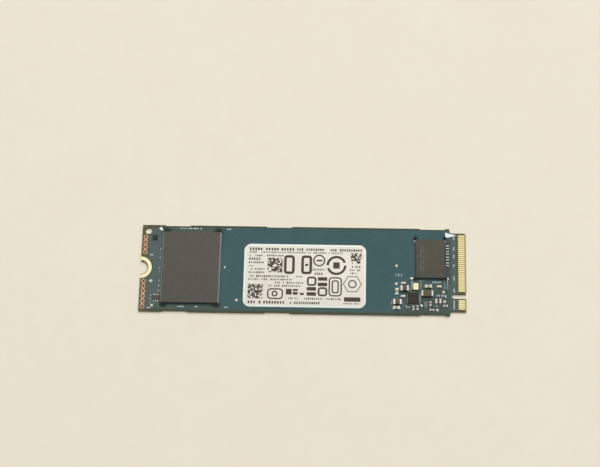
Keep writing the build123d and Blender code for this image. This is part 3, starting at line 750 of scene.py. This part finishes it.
def make_dabs(node, low, high, radius, height, inset, beyond):
    """Smooth dabs of adhesive at a package's corners, each a little uneven.

    Inset moves them in along the card, and beyond moves the far ones out across it."""
    mesh = bmesh.new()
    corners = [(x, y) for x in (low.x + inset, high.x - inset) for y in (low.y, high.y + beyond)]
    for number, (x, y) in enumerate(corners):
        loops = []
        for ring in range(DAB_RINGS):
            share = 1 - ring / DAB_RINGS
            outline = []
            for i in range(DAB_SIDES):
                a = math.tau * i / DAB_SIDES
                waves = [depth * math.sin(count * a + shift * number) for count, depth, shift in DAB_WAVES]
                reach = radius * share * (1 + sum(waves))
                outline.append((x + reach * math.cos(a), y + reach * math.sin(a)))
            rise = height * (0.5 + 0.5 * math.cos(math.pi * share))
            loops.append(add_loop(mesh, outline, BOARD_TOP + rise))
        mesh.faces.new(loops[0][::-1])
        for near, far in zip(loops, loops[1:]):
            bridge(mesh, near, far)
        peak = mesh.verts.new((x * MM, y * MM, (BOARD_TOP + height) * MM))
        for i in range(DAB_SIDES):
            mesh.faces.new((loops[-1][i], loops[-1][(i + 1) % DAB_SIDES], peak))
    keep(piece_from(node + "_finished", mesh, BOND, 60), "bond", node)


def make_hole_rims():
    """A raised copper rim round each ground hole, and a dark plug half way down it as painted shade for the
    hole's depth.
    """
    rims, plugs = bmesh.new(), bmesh.new()
    for y in GROUND_HOLES:
        centre = (GROUND_HOLES_X, y)
        section = [(arc(centre, radius, HOLE_RIM_SIDES), BOARD_TOP + rise) for radius, rise in HOLE_RIM]
        add_band(rims, section)
        add_prism(plugs, arc(centre, PLUG_RADIUS, PLUG_SIDES), PLUG_LOW, PLUG_HIGH)
    keep(piece_from("ground_hole_rims", rims, COPPER, 60), "copper")
    keep(piece_from("ground_hole_shade_plugs", plugs, HOLE_DEPTH_SHADE_PLUG, 30), "solder_mask")


# Printed marks

INK_THICKNESS = 0.012
LETTER_PITCH = 0.86  # against the height of the print
LETTER_WIDTH = 0.7  # against the pitch
INKED_SHARE = 0.86  # of the blocks in a line; the others are the gaps between words
LARGE_PRINT = 0.6  # height above which the blocks are more alike
LEAST_LARGE = (0.75, 0.8)  # width and height of the least block in large print, against the full one
LEAST_SMALL = (0.5, 0.6)  # and in small print
DOT_PITCH = 0.3
DOT_SIDE = 0.97  # against the pitch
DOTTED_SHARE = 0.66
LABEL_SEED, BOARD_SEED, LASER_SEED = 20, 70, 90  # of the first line in each print
FRAME_CORNER = 0.9  # largest radius of a frame's corners
FRAME_CORNER_SHARE = 0.3  # of the width of a narrow frame
INNER_CORNER = 0.05  # least radius on the inside of a frame
BLOCK_CORNER = 0.12

# Lines of small print on the label: left end, right end, place across, height of the print
LABEL_LINES = (
    (-13.3, -9.8, 5.15, 0.78), (-9.3, -6.0, 5.15, 0.78), (-5.5, -2.2, 5.15, 0.78), (-1.6, 5.4, 5.15, 0.66),
    (6.6, 14.4, 5.1, 0.66), (-13.3, -11.6, 4.35, 0.55), (-10.8, 9.7, 4.35, 0.45), (-13.3, -9.5, 3.45, 0.55),
    (-9.0, -4.9, 3.5, 0.55), (-13.4, -10.3, 2.6, 0.68), (-13.4, -9.8, 1.7, 0.55), (-13.4, -12.0, 0.8, 0.5),
    (-13.2, -9.4, 0.0, 0.5), (-13.4, -9.3, -0.85, 0.52), (-13.4, -3.6, -1.8, 0.55), (-1.7, 0.0, -1.8, 0.5),
    (-13.4, -2.2, -2.6, 0.5), (-6.8, 0.2, -3.4, 0.55), (-8.4, 0.2, -4.2, 0.55), (2.3, 5.6, 0.05, 0.52),
    (2.8, 5.1, -1.0, 0.62), (11.5, 14.4, 0.9, 0.52), (11.5, 14.3, 0.05, 0.52), (11.6, 13.2, -0.75, 0.5),
    (-3.4, -1.0, -7.3, 0.45), (0.4, 9.6, -7.35, 0.55), (10.0, 14.1, -8.45, 0.42), (-13.4, -10.0, -8.4, 0.78),
    (-9.6, -3.9, -8.4, 0.78), (-3.1, 4.4, -8.45, 0.62),
)
# Squares of random dots on the label: left, bottom and side
LABEL_SQUARES = ((-8.7, -0.8, 3.7), (-13.4, -7.5, 3.7), (11.75, 1.75, 2.65))
# Open frames on the label: left, bottom, right, top, width of the line
LABEL_FRAMES = (
    (-4.65, -1.15, -2.0, 3.65, 0.65), (-0.4, -1.15, 2.25, 3.65, 0.65), (1.05, -4.1, 3.4, -1.75, 0.46),
    (3.75, -6.7, 6.1, -4.4, 0.46), (6.4, -6.7, 9.65, -1.8, 0.34), (7.15, -5.9, 8.9, -2.6, 0.34),
    (-8.6, -7.6, -4.7, -4.85, 0.34),
)
# Solid blocks on the label: left, bottom, right, top
LABEL_BLOCKS = (
    (10.2, -7.95, 14.2, -6.85), (3.75, -2.75, 6.05, -1.85), (3.75, -4.15, 6.05, -3.25),
    (1.05, -5.3, 3.35, -4.4), (1.05, -6.6, 3.35, -5.7), (-4.0, -6.4, -2.6, -4.95),
    (-2.35, -6.4, -1.1, -5.7), (-2.35, -5.45, -1.1, -4.95), (7.45, 0.4, 9.05, 2.0),
    (0.55, 0.95, 1.3, 1.5), (3.3, 2.17, 4.8, 2.6), (-0.6, -6.45, 0.4, -5.9),
)
# Rings on the label: centre, outer and inner radius, sides, first angle and sweep in degrees
LABEL_RINGS = (
    ((4.0, 2.4), 1.5, 1.16, 40, 0, 360),
    ((8.25, 1.2), 2.45, 1.85, 40, 20, 160),
    ((8.25, 1.2), 2.45, 1.85, 40, 200, 160),
    ((12.2, -3.5), 2.3, 2.1, 6, 0, 360),
    ((12.2, -3.5), 1.05, 0.75, 24, 0, 360),
    ((-6.77, -6.2), 0.75, 0.4, 24, 0, 360),
)

# White marks on the board, as outlines
BOARD_MARKS = (
    [(-35.95, 10.0), (-34.7, 9.35), (-35.4, 10.62)],
    [(34.92, 10.1), (35.02, 8.7), (37.66, 9.36)],
    box_outline(-19.35, 0.1, -19.1, 0.55),
    box_outline(27.37, 7.6, 27.52, 8.1),
    box_outline(34.82, 7.65, 35.05, 8.1),
    [(26.15, -1.75), (26.95, -2.05), (27.0, -1.4)],
    [(35.1, -1.75), (35.75, -2.05), (35.6, -1.42)],
    [(28.68, -8.2), (29.15, -9.0), (29.42, -8.5)],
)
# Dashes beside the contacts: lower and upper end
CONTACT_DASHES = ((8.2, 9.0), (5.4, 6.4), (3.5, 4.4), (1.3, 2.0), (-2.2, -1.1), (-5.2, -4.2), (-9.4, -7.2))
# Short bars between the label and the controller: left and right end
SHORT_BARS = ((22.85, 22.99), (23.45, 23.62), (24.12, 24.26))
# Marks on the board where the ink is thin, as outlines
THIN_MARKS = (
    box_outline(-37.85, 3.13, -37.05, 3.4),
    [(-37.85, -3.38), (-37.3, -3.78), (-36.8, -3.38), (-37.3, -2.98)],
    box_outline(-37.95, -10.33, -37.1, -10.12),
    *(box_outline(-37.27, low, -37.13, high) for low, high in ((-7.4, -6.9), (-8.3, -7.9), (-9.1, -8.8))),
    [(25.25, -9.1), (26.45, -9.1), (26.45, -8.97), (25.38, -8.97), (25.38, -8.55), (25.25, -8.55)],
    box_outline(28.72, -7.9, 28.82, -5.6),
    box_outline(26.66, -4.5, 26.84, -2.4),
    *(box_outline(left, -1.3, right, -0.65) for left, right in SHORT_BARS),
    *(box_outline(36.9, low, 37.12, high) for low, high in CONTACT_DASHES),
)
# Small print on the board: first end, last end, place, height of the print, upright or not
BOARD_LINES = (
    (-30.7, -25.3, 10.22, 0.3, False), (-30.5, -28.7, -9.8, 0.34, False), (-26.2, -25.3, -9.78, 0.34, False),
    (-19.1, -18.0, 10.18, 0.32, False), (-19.0, -18.0, -9.83, 0.34, False), (4.3, 5.1, -35.3, 0.24, True),
    (3.5, 3.7, -35.3, 0.2, True), (2.4, 2.8, -35.3, 0.22, True), (1.2, 1.8, -35.3, 0.24, True),
    (-0.3, 0.5, -35.3, 0.26, True), (-1.2, -0.9, -35.3, 0.2, True), (-3.5, -3.05, -35.3, 0.26, True),
    (-5.0, -4.4, -35.3, 0.26, True), (-6.1, -5.6, -35.3, 0.24, True),
)
# The same where the ink is thin
THIN_LINES = (
    (-4.4, -2.1, 34.78, 0.3, True), (-4.4, -2.1, 35.42, 0.3, True), (28.5, 29.6, -2.45, 0.3, False),
    (-4.4, -2.9, 28.92, 0.26, True), (31.6, 34.0, -2.68, 0.52, False), (32.2, 34.4, -6.05, 0.56, False),
    (32.4, 33.2, -8.7, 0.3, False),
)
# Burnt lines up the controller: lower end, upper end, place along the card, height of the print
LASER_LINES = ((-0.1, 6.2, 28.85, 0.5), (-0.1, 6.2, 29.5, 0.5), (0.8, 5.4, 30.4, 0.26))
LASER_RISE = 0.4  # share of the mark's thickness that stands above the mould
PIN_DOT = (33.65, -1.0)
PIN_DOT_RADIUS = 0.2
PIN_DOT_HOLE = 0.02  # radius of the open middle, too small to see


def stamped(corner, columns, rows, pitch, block, share, seed, material, least=(1, 1)):
    """A field of ink blocks; corner is the middle of its lowest left block, on what it is printed on."""
    sizes = {
        "Columns": columns, "Rows": rows, "Pitch": pitch * MM, "Keep": share, "Seed": seed,
        "Block": (block[0] * MM, block[1] * MM, INK_THICKNESS * MM), "Least Size": (*least, 1),
        "Corner": (corner[0] * MM, corner[1] * MM, (corner[2] + INK_THICKNESS / 2) * MM),
        "Material": material,
    }
    return grown("stamped", STAMPED_FIELD, sizes)


def print_line(first, last, place, z, height, seed, material, upright=False):
    """A line of small print as plain blocks that spell nothing; an upright one runs across the card."""
    pitch = height * LETTER_PITCH
    count = max(1, round((last - first) / pitch))
    start = first + pitch / 2
    block = (pitch * LETTER_WIDTH, height)
    least = LEAST_LARGE if height > LARGE_PRINT else LEAST_SMALL
    ink = (INKED_SHARE, seed, material)
    if upright:
        return stamped((place, start, z), 1, count, pitch, block[::-1], *ink, least[::-1])
    return stamped((start, place, z), count, 1, pitch, block, *ink, least)


def ink_section(outer, inner, low):
    """The section of a band of ink between two outlines."""
    high = low + INK_THICKNESS
    return (outer, low), (outer, high), (inner, high), (inner, low)


def add_frame(mesh, x0, y0, x1, y1, line):
    """A frame of ink on the label, with rounded corners."""
    radius = min(FRAME_CORNER, (x1 - x0) * FRAME_CORNER_SHARE)
    inner_radius = max(INNER_CORNER, radius - line)
    outer = round_outline(x0, y0, x1, y1, radius)
    inner = round_outline(x0 + line, y0 + line, x1 - line, y1 - line, inner_radius)
    add_band(mesh, ink_section(outer, inner, LABEL_TOP))


def add_ring(mesh, centre, outer, inner, low, sides, start=0, sweep=360):
    """A ring of ink, or part of one."""
    outlines = (arc(centre, radius, sides, start, sweep) for radius in (outer, inner))
    add_band(mesh, ink_section(*outlines, low), closed=sweep == 360)


def make_label_print():
    """Lines, squares of dots and a few plain signs, for the weight of print on such a label."""
    prints = [
        print_line(first, last, place, LABEL_TOP, height, LABEL_SEED + i, LABEL_INK)
        for i, (first, last, place, height) in enumerate(LABEL_LINES)
    ]
    for seed, (left, bottom, side) in enumerate(LABEL_SQUARES):
        cells = round(side / DOT_PITCH)
        pitch = side / cells
        corner = (left + pitch / 2, bottom + pitch / 2, LABEL_TOP)
        dot = (pitch * DOT_SIDE, pitch * DOT_SIDE)
        prints.append(stamped(corner, cells, cells, pitch, dot, DOTTED_SHARE, seed, LABEL_INK))
    keep(joined("label_small_print", prints), "label")

    mesh = bmesh.new()
    for frame_sizes in LABEL_FRAMES:
        add_frame(mesh, *frame_sizes)
    for block in LABEL_BLOCKS:
        add_prism(mesh, round_outline(*block, BLOCK_CORNER, steps=3), LABEL_TOP, LABEL_TOP + INK_THICKNESS)
    for centre, outer, inner, *facets in LABEL_RINGS:
        add_ring(mesh, centre, outer, inner, LABEL_TOP, *facets)
    keep(piece_from("label_signs", mesh, LABEL_INK, 20), "label")


def make_board_print():
    """Pin-one arrows, outlines and small print in white epoxy ink."""
    marks = (("board_marks", WHITE_INK, BOARD_MARKS), ("thin_board_marks", THIN_INK, THIN_MARKS))
    for name, ink, outlines in marks:
        mesh = bmesh.new()
        for outline in outlines:
            add_prism(mesh, outline, BOARD_TOP, BOARD_TOP + INK_THICKNESS)
        bmesh.ops.recalc_face_normals(mesh, faces=mesh.faces)
        keep(piece_from(name, mesh, ink, 20), "label")
    small_print = (("board_small_print", WHITE_INK, BOARD_LINES), ("thin_small_print", THIN_INK, THIN_LINES))
    for name, ink, lines in small_print:
        prints = [
            print_line(first, last, place, BOARD_TOP, height, BOARD_SEED + i, ink, upright)
            for i, (first, last, place, height, upright) in enumerate(lines)
        ]
        keep(joined(name, prints), "label")


def make_laser_marks():
    """Faint burnt lines and the pin-one dot on the controller."""
    z = CONTROLLER_HIGH.z - INK_THICKNESS * (1 - LASER_RISE)
    prints = [
        print_line(first, last, place, z, height, LASER_SEED + i, LASER_MARK, True)
        for i, (first, last, place, height) in enumerate(LASER_LINES)
    ]
    keep(joined("controller_laser_marks", prints), "mould")
    mesh = bmesh.new()
    add_ring(mesh, PIN_DOT, PIN_DOT_RADIUS, PIN_DOT_HOLE, z, sides=20)
    keep(piece_from("controller_pin_dot", mesh, LASER_MARK), "mould")


# Tracks and filled holes under the mask

TRACK_WIDTH = 0.16
TRACK_THICKNESS = 0.016  # half of it above the board
TRACK_BEND = 0.25
TRACK_SPREAD = 0.3  # by which the two tracks of a pair part on their way to the contacts
FILLED_HOLE_RADIUS = 0.2
FILLED_HOLE_THICKNESS = 0.03  # half of it below the card
FILLED_HOLE_SEGMENTS, FILLED_HOLE_RINGS = 14, 5
# Where each coupling capacitor's track starts, and which way it spreads from its pair
COUPLING_STARTS = [
    (COUPLING_MIDDLE + COUPLING_PAIR_PITCH * (pair - 1.5) + COUPLING_SPACING / 2 * side, side)
    for pair in range(4)
    for side in (-1, 1)
]
# Runs of the tracks on the top: one from each coupling capacitor, and a pair by the label's corner
TRACK_RUNS = [
    [(35.85, y), (36.5, y), (36.95, y + TRACK_SPREAD * side), (37.4, y + TRACK_SPREAD * side)]
    for y, side in COUPLING_STARTS
] + [[(x, 8.9), (x + 3.0, 6.4)] for x in (-17.6, -17.2)]
# Filled holes on the underside: along both edges, beside the flash package and beside the controller
FILLED_HOLES = (
    [(x, y) for x in range(-15, 21, 3) for y in (-10.1, 10.1)]
    + [(x, y) for x in (-17.6, -16.8) for y in (-4.4, -2.2, 0.0, 2.2, 4.4)]
    + [(18.2, 4.5), (19.6, 2.2), (20.4, -3.4), (18.9, -6.8)]
    + [(21.2, -8.2), (20.9, 6.9), (23.6, 8.3), (24.4, 5.2)]
)


def make_tracks():
    """Tracks on the top and filled holes on the underside, which stand up a little under the mask."""
    points, edges = [], []
    for run in TRACK_RUNS:
        first = len(points)
        points += [(x, y, BOARD_TOP) for x, y in run]
        edges += [(first + i, first + i + 1) for i in range(len(run) - 1)]
    sizes = {
        "Width": TRACK_WIDTH * MM, "Height": TRACK_THICKNESS * MM, "Bend": TRACK_BEND * MM,
        "Material": MASK_OVER_COPPER,
    }
    keep(joined("tracks_under_mask", [grown("tracks", TRACKS, sizes, points, edges)]), "solder_mask")

    sizes = {
        "Radius": FILLED_HOLE_RADIUS * MM, "Height": FILLED_HOLE_THICKNESS * MM,
        "Segments": FILLED_HOLE_SEGMENTS, "Rings": FILLED_HOLE_RINGS, "Material": MASK_OVER_COPPER,
    }
    places = [(x, y, 0.0) for x, y in FILLED_HOLES]
    keep(joined("filled_holes_under_mask", [grown("filled_holes", BEADS, sizes, places)], 50), "solder_mask")


# Stage, camera and light

FLOOR_REACH = 1500.0  # each way from the card's middle
FLOOR_DROP = 0.02  # below the card, so that no two faces share a plane

# The photograph's viewpoint, found from the card's known outline; angles in degrees
VIEW_TARGET = Vector((-0.91, 9.33, 0.8))
VIEW_ELEVATION = 72.29
VIEW_AZIMUTH = 5.88
VIEW_ROLL = -4.76
VIEW_DISTANCE = 352.0
LENS = 85.29
SENSOR_WIDTH = 36.0

# Lamps: name, size and place in metres, and power in watts
LAMPS = (("softbox", 1.4, (0.1, 0.46, 1.76), 28.6), ("back_lamp", 1.2, (0.6, 1.3, 1.5), 7.6))
SURROUND_LIGHT = 0.13  # strength of the surround as a light
SURROUND_SEEN = 1.0  # and as metal, glass and the camera see it


def make_stage():
    """The sheet of paper under the card."""
    mesh = bmesh.new()
    outline = box_outline(-FLOOR_REACH, -FLOOR_REACH, FLOOR_REACH, FLOOR_REACH)
    mesh.faces.new(add_loop(mesh, outline, -FLOOR_DROP))
    piece_from("floor", mesh, BACKING_PAPER)


def make_camera():
    """Looks down on the card from the photograph's place, turned with the photograph's slope."""
    camera = bpy.data.cameras.new("camera")
    camera.lens = LENS
    camera.sensor_width = SENSOR_WIDTH
    camera.sensor_fit = "HORIZONTAL"
    camera.clip_start = MM
    holder = bpy.data.objects.new("camera", camera)
    place = Matrix.Translation(VIEW_TARGET * MM)
    for angle, axis in ((VIEW_AZIMUTH, "Z"), (90 - VIEW_ELEVATION, "X"), (VIEW_ROLL, "Z")):
        place @= Matrix.Rotation(math.radians(angle), 4, axis)
    holder.matrix_world = place @ Matrix.Translation((0, 0, VIEW_DISTANCE * MM))
    bpy.context.scene.collection.objects.link(holder)
    bpy.context.scene.camera = holder


def make_light():
    """A softbox overhead, a weaker lamp beyond the card, and an even surround.

    Metal mirrors the surround alone, so that gold keeps its colour from every side."""
    for name, size, place, power in LAMPS:
        lamp = bpy.data.lights.new(name, "AREA")
        lamp.shape = "DISK"
        lamp.size = size
        lamp.energy = power
        holder = bpy.data.objects.new(name, lamp)
        turn = Vector(place).to_track_quat("Z", "Y").to_matrix().to_4x4()
        holder.matrix_world = Matrix.Translation(place) @ turn
        holder.visible_glossy = False
        bpy.context.scene.collection.objects.link(holder)

    world = bpy.data.worlds.new("studio")
    world.use_nodes = True
    bpy.context.scene.world = world
    add = partial(add_node, world.node_tree)
    ray = add("ShaderNodeLightPath").outputs
    seen = ray["Is Camera Ray"]
    for kind in ("Is Glossy Ray", "Is Transmission Ray"):
        seen = add("ShaderNodeMath", {0: seen, 1: ray[kind]}, operation="MAXIMUM")
    levels = {"Value": seen, "To Min": SURROUND_LIGHT, "To Max": SURROUND_SEEN}
    strength = add("ShaderNodeMapRange", levels)
    feed(world.node_tree.nodes["Background"], {"Color": "#FFFFFF", "Strength": strength})


# The card put together

# Pieces with rounded edges in place of a solid: node, finish, record slot, edge radius
ROUNDED_PIECES = (
    ("product_label", LABEL, "label", 0.03),
    ("controller_mould", MOULD, "mould", 0.05),
    ("power_chip_body", BROWN_MOULD, "mould", 0.05),
    ("switch_body", MOULD, "mould", 0.06),
    ("flash_mould", FLASH_MOULD_WALL_HIGHLIGHT, "mould", 0.05),
    ("capacitors_0201_bodies", PALE_CERAMIC, "capacitor_ceramic", 0.018),
    ("capacitors_0201_ends", TIN, "tin", 0.006),
    ("capacitors_0402_bodies", STONE_CERAMIC, "capacitor_ceramic", 0.03),
    ("capacitors_0402_ends", TIN, "tin", 0.01),
    ("capacitors_0603_bodies", OLIVE_CERAMIC, "capacitor_ceramic", 0.048),
    ("capacitors_0603_ends", TIN, "tin", 0.016),
    ("capacitors_0805_bodies", BROWN_CERAMIC, "capacitor_ceramic", 0.06),
    ("capacitors_0805_ends", TIN, "tin", 0.02),
    ("resistors_0402_bodies", CREAM_CERAMIC, "resistor_ceramic", 0.02),
    ("resistors_0402_ends", TIN, "tin", 0.01),
    ("resistors_0402_coats", GLASS_COAT, "resistor_coat", 0.01),
    ("inductor_core", POWDER, "inductor_core", 0.08),
    ("crystal_base", DARK_CERAMIC, "crystal_ceramic", 0.03),
    ("crystal_lid", PALE_GOLD, "gold", 0.02),
    ("diode_body", GREY_MOULD, "diode_mould", 0.04),
    ("sensor_chip", CHIP_BACK, "silicon", 0.03),
)

dress(BOARD, "circuit_board")
dress(CONTACT_GOLD, "edge_contacts_top", "edge_contacts_bottom")
dress(NOTCH_GOLD, "board_notch_plating")
dress(COPPER, "ground_holes")
dress(PAD_SOLDER, "test_pads")
dress(TIN, "power_chip_leads", "diode_pads", "inductor_terminals", "switch_leads")
dress(SUBSTRATE, "flash_substrate", "controller_substrate")
for node, finish, slot, edge_radius in ROUNDED_PIECES:
    soften(node, finish, slot, edge_radius)
make_solder()
make_hole_rims()
make_balls("flash_solder_balls", radius=0.25)
make_balls("controller_solder_balls", radius=0.19)
make_balls("sensor_solder_balls", radius=0.15)
make_dabs("flash_corner_bonds", FLASH_LOW, FLASH_HIGH, radius=1.1, height=0.6, inset=0.8, beyond=0.42)
make_dabs(
    "controller_corner_bonds", CONTROLLER_LOW, CONTROLLER_HIGH,
    radius=0.62, height=0.45, inset=0.0, beyond=0.5,
)
make_label_print()
make_board_print()
make_laser_marks()
make_tracks()
make_stage()
make_camera()
make_light()
bpy.context.scene.view_settings.view_transform = "Standard"
